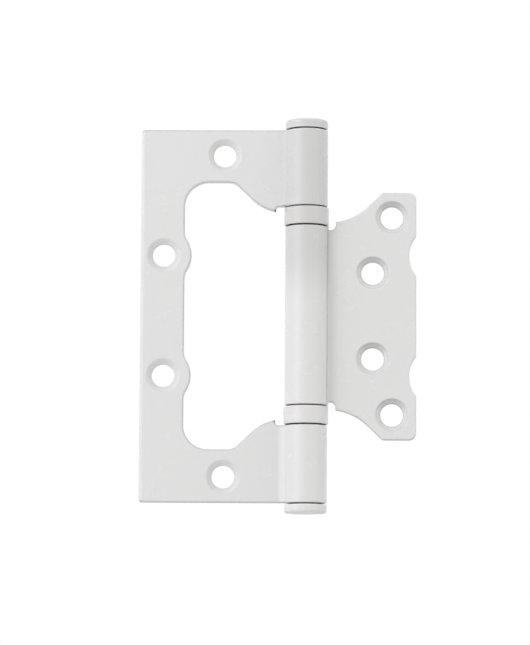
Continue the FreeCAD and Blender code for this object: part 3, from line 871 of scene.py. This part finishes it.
@dataclass
class Floor:
    """The pale round floor that takes the hinge's shadow.

    Attributes:
        level: Its height.
        radius: Its radius.
        rings: Rings of points in it.
        spokes: Points in each ring.
        tone: Its middle tone.
        tone_spread: How far the tone goes to both sides.
        grain: Grain of its unevenness.
        detail: Octaves of its unevenness.
        roughness: Its roughness.
    """

    level: float = -0.16
    radius: float = 0.8
    rings: int = 24
    spokes: int = 96
    tone: float = 0.8
    tone_spread: float = 0.01
    grain: float = 0.05
    detail: float = 2.0
    roughness: float = 0.9

    def build(self) -> None:
        """Lays the floor: a middle point, then rings of points whose radius grows, all at one level."""
        radius = np.linspace(0.0, self.radius, self.rings + 1)[1:]
        angle = np.linspace(0.0, 2.0 * math.pi, self.spokes, endpoint=False)
        out, around = np.meshgrid(radius, angle, indexing="ij")
        level = np.full_like(out, self.level)
        points = np.stack([out * np.cos(around), out * np.sin(around), level], axis=-1).reshape(-1, 3)
        points = np.vstack([points, [[0.0, 0.0, self.level]]])
        row = np.arange(self.rings - 1)[:, None] * self.spokes
        here = np.arange(self.spokes)[None, :]
        there = (here + 1) % self.spokes
        quads = np.stack([row + here, row + self.spokes + here, row + self.spokes + there, row + there],
                         axis=-1)
        middle = np.stack([np.full_like(here, len(points) - 1), here, there], axis=-1)
        mesh = bpy.data.meshes.new("floor")
        mesh.from_pydata(points.tolist(), [], quads.reshape(-1, 4).tolist() + middle.reshape(-1, 3).tolist())
        mesh.materials.append(self.material())
        put_in_scene("floor", mesh)

    def material(self) -> bpy.types.Material:
        """Builds the floor's pale card, faintly uneven.

        Returns:
            The material.
        """
        nodes = Nodes.of_material("floor_card")
        tone = nodes.spread(nodes.noise(self.grain, self.detail), self.tone - self.tone_spread,
                            self.tone + self.tone_spread)
        return nodes.finish(nodes.add("BsdfPrincipled", Base_Color=tone, Roughness=self.roughness))


@dataclass
class Studio:
    """The floor, the pale surroundings and the lamps.

    Attributes:
        ambient: Strength of the surroundings as a light.
        lamps: The soft boxes.
    """

    ambient: float = 0.45
    lamps: tuple[SoftBox, ...] = (
        SoftBox("left_side", -80.0, 35.0, 1.7, Tint.COOL),
        SoftBox("left_front", -50.0, 35.0, 2.5, Tint.COOL),
        SoftBox("left_level", -50.0, 0.0, 1.65, Tint.COOL),
        SoftBox("front_level", -20.0, 0.0, 0.45),
        SoftBox("right_level", 15.0, 0.0, 0.25),
        SoftBox("right_front", 50.0, 0.0, 0.8, Tint.WARM),
        SoftBox("right_side", 80.0, 35.0, 2.5, Tint.WARM),
        SoftBox("right_high", 80.0, 65.0, 0.6, Tint.WARM),
    )

    def surroundings(self) -> None:
        """Makes the world: plain white where the camera, a reflection or glass looks, softer as a light."""
        nodes = Nodes(bpy.data.worlds.new("surroundings"), "OutputWorld")
        path = nodes.add("LightPath").outputs
        direct = nodes.math("MAXIMUM", path["Is Camera Ray"], path["Is Glossy Ray"])
        seen = nodes.math("MAXIMUM", direct, path["Is Transmission Ray"])
        light = nodes.add("Background", Color=WHITE, Strength=self.ambient)
        white = nodes.add("Background", Color=WHITE, Strength=1.0)
        mix = nodes.add("MixShader")
        for place, value in enumerate((seen, light.outputs[0], white.outputs[0])):
            nodes.put(mix, place, value)
        bpy.context.scene.world = nodes.finish(mix)

    def build(self) -> None:
        """Builds the floor, the surroundings and every lamp."""
        Floor().build()
        self.surroundings()
        low, high = CAD_BOX
        for lamp in self.lamps:
            lamp.build((low + high) / 2)
        bpy.context.scene.view_settings.view_transform = "Standard"
        LOG.info("studio: floor, surroundings and %d lamps", len(self.lamps))


@dataclass(frozen=True)
class PhotoCamera:
    """The camera, where the photograph was taken from: a long lens below the hinge's middle, looking up.

    Attributes:
        place: Where the lens is.
        yaw: Its turn from straight ahead, in radians.
        pitch: Its lift, in radians.
        roll: Its turn about its own line of sight, in radians.
        focal_pixels: Its focal length in the picture's pixels.
        picture: The picture's width and height in pixels.
        sensor: The sensor's longer side, in the camera's own millimetres.
        near: Nearest distance that it shows.
        far: Farthest distance that it shows.
    """

    place: Point = (38.7 * MM, -901.25 * MM, -104.77 * MM)
    yaw: float = -0.0124
    pitch: float = 0.1139
    roll: float = 0.0057
    focal_pixels: float = 3342.0
    picture: tuple[int, int] = (530, 645)
    sensor: float = 36.0
    near: float = 0.01
    far: float = 20.0

    def build(self) -> None:
        """Sets the camera up: forward is +Y turned by yaw and lifted by pitch, then rolled about itself."""
        forward = np.array([math.sin(self.yaw) * math.cos(self.pitch),
                            math.cos(self.yaw) * math.cos(self.pitch), math.sin(self.pitch)])
        level = np.array([math.cos(self.yaw), -math.sin(self.yaw), 0.0])
        above = np.cross(level, forward)
        right = math.cos(self.roll) * level + math.sin(self.roll) * above
        up = -math.sin(self.roll) * level + math.cos(self.roll) * above
        lens = bpy.data.cameras.new("photo_camera")
        lens.sensor_width = self.sensor
        lens.lens = self.focal_pixels * self.sensor / max(self.picture)
        lens.clip_start, lens.clip_end = self.near, self.far
        camera = put_in_scene("photo_camera", lens)
        turn = np.eye(4)
        turn[:3, :3] = np.stack([right, up, -forward], axis=1)
        turn[:3, 3] = self.place
        camera.matrix_world = Matrix(turn.tolist())
        bpy.context.scene.camera = camera
        LOG.info("camera: %.0f pixels of focal length", self.focal_pixels)


def main() -> None:
    """Builds the camera, the studio and each sub-assembly in order."""
    logging.basicConfig(level=logging.INFO, format="%(message)s")
    for assembly in (PhotoCamera(), Studio(), Caps(), DoorLeaf(), FrameLeaf(), Bearings(), Pin()):
        assembly.build()


if __name__ == "__main__":
    main()
